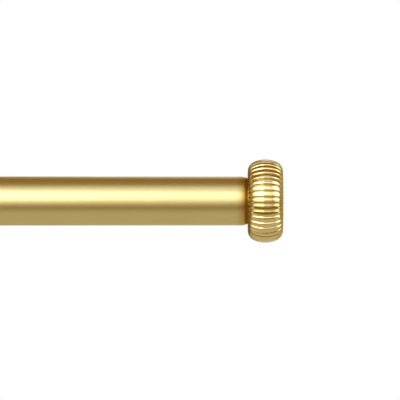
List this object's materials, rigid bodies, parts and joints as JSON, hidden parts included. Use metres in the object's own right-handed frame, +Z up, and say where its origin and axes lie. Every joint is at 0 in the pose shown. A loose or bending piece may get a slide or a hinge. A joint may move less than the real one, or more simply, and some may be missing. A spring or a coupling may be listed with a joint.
{
  "type": "curtain rod",
  "caption": "Straight satin gold curtain rod with a reeded drum finial on each end, for hanging curtains from rings or a rod pocket.",
  "frame": {"origin": "on the rod's axis, midway along its length", "axes": "+X along the rod to its right end, +Z up, -Y out of the wall towards the room"},
  "size_m": [0.7476, 0.0434, 0.0434],
  "materials": {
    "satin_gold": "satin, brushed round the tube",
    "polished_gold": "polished plating",
    "nylon": "moulded",
    "steel": "bright zinc plating"
  },
  "bodies": {
    "root": {"rod_tube": "satin_gold", "left_finial": "polished_gold", "right_finial": "polished_gold", "left_plug": "nylon", "right_plug": "nylon", "left_stud": "steel", "right_stud": "steel"}
  },
  "joints": []
}
